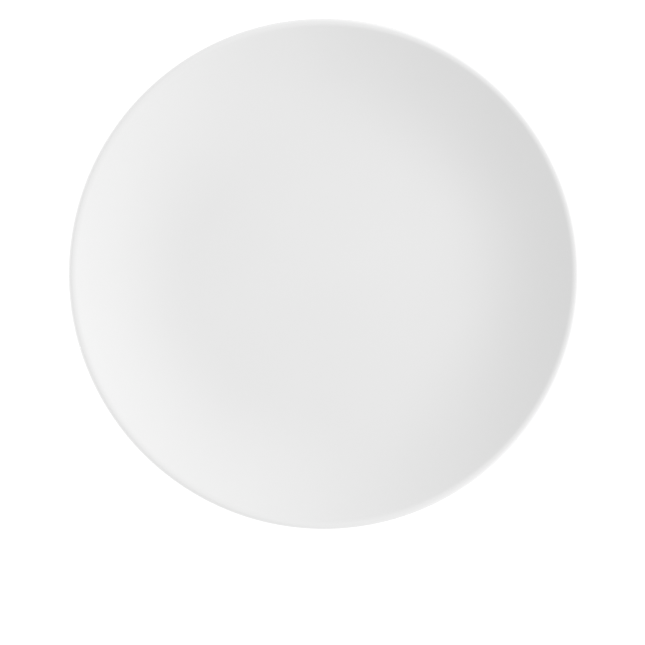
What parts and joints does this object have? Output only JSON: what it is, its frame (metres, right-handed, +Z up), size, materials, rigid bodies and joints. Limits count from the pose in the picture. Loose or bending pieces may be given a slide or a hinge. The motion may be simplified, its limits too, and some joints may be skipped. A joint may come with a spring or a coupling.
{
  "type": "coupe dinner plate",
  "caption": "Round white coupe plate: wide level floor, one smooth wall that steepens outwards with no separate rim, rounded lip and a low foot ring under a shallow recess.",
  "frame": {"origin": "centre of the foot ring's standing face, on the table, on the plate's axis", "axes": "+Z up along the plate's axis of revolution; X and Y are any two level directions"},
  "size_m": [0.28, 0.28, 0.026],
  "materials": {
    "bare_porcelain": "unglazed, ground smooth, matt",
    "white_glaze": "clear gloss glaze over white porcelain"
  },
  "bodies": {
    "root": {"porcelain_body": "bare_porcelain", "face_and_back_glaze": "white_glaze", "recess_glaze": "white_glaze"}
  },
  "joints": []
}
